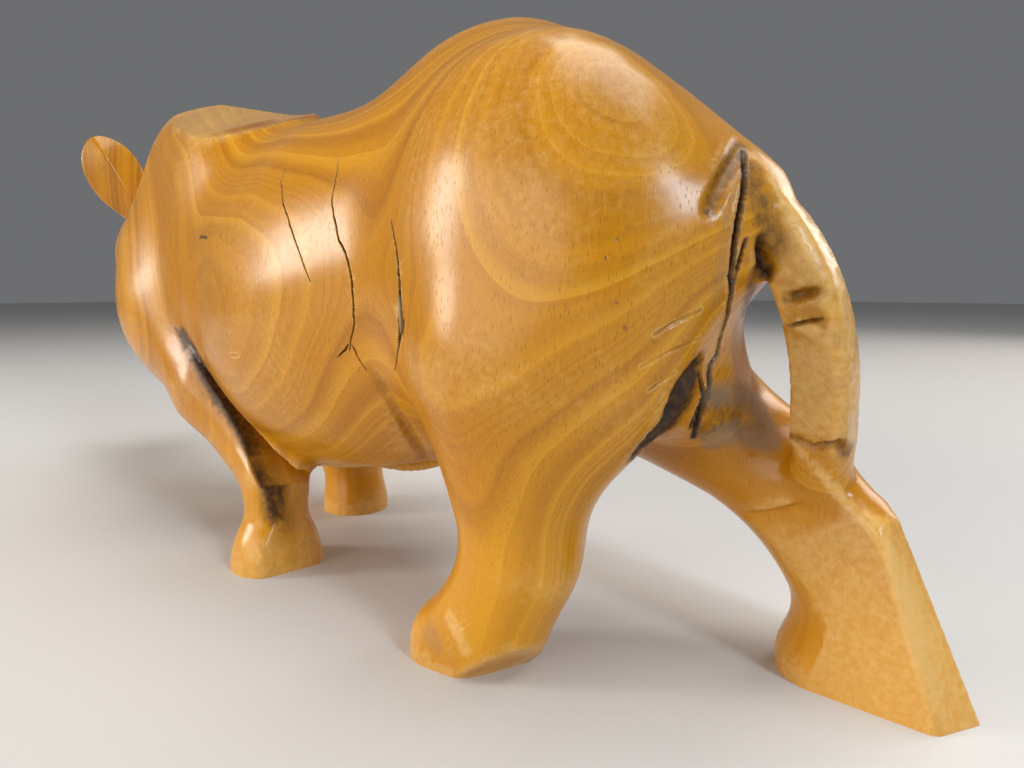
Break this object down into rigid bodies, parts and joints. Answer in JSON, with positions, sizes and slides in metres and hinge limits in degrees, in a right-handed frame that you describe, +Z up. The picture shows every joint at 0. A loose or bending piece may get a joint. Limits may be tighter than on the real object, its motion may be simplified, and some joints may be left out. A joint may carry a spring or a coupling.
{
  "type": "carved wooden rhinoceros figurine",
  "caption": "Hand-carved walking rhinoceros ornament in polished honey-coloured wood, with a tail that loops down to one hind leg and pegged ears, horns and eyes.",
  "frame": {"origin": "on the ground, below the middle of the figure's bounding box", "axes": "+X towards the head, +Y to the animal's left, +Z up"},
  "size_m": [0.2698, 0.063, 0.1081],
  "materials": {
    "honey_wood": "carved, sanded and waxed to a soft gloss, with fine pores, growth rings and a few drying checks",
    "dark_wood": "turned dark hardwood, polished",
    "putty": "matt grey-tan wood filler"
  },
  "bodies": {
    "root": {"carved_body": "honey_wood", "left_ear": "honey_wood", "right_ear": "honey_wood", "front_horn": "honey_wood", "rear_horn": "honey_wood", "left_eye": "dark_wood", "right_eye": "dark_wood", "check_filler": "putty"}
  },
  "joints": []
}
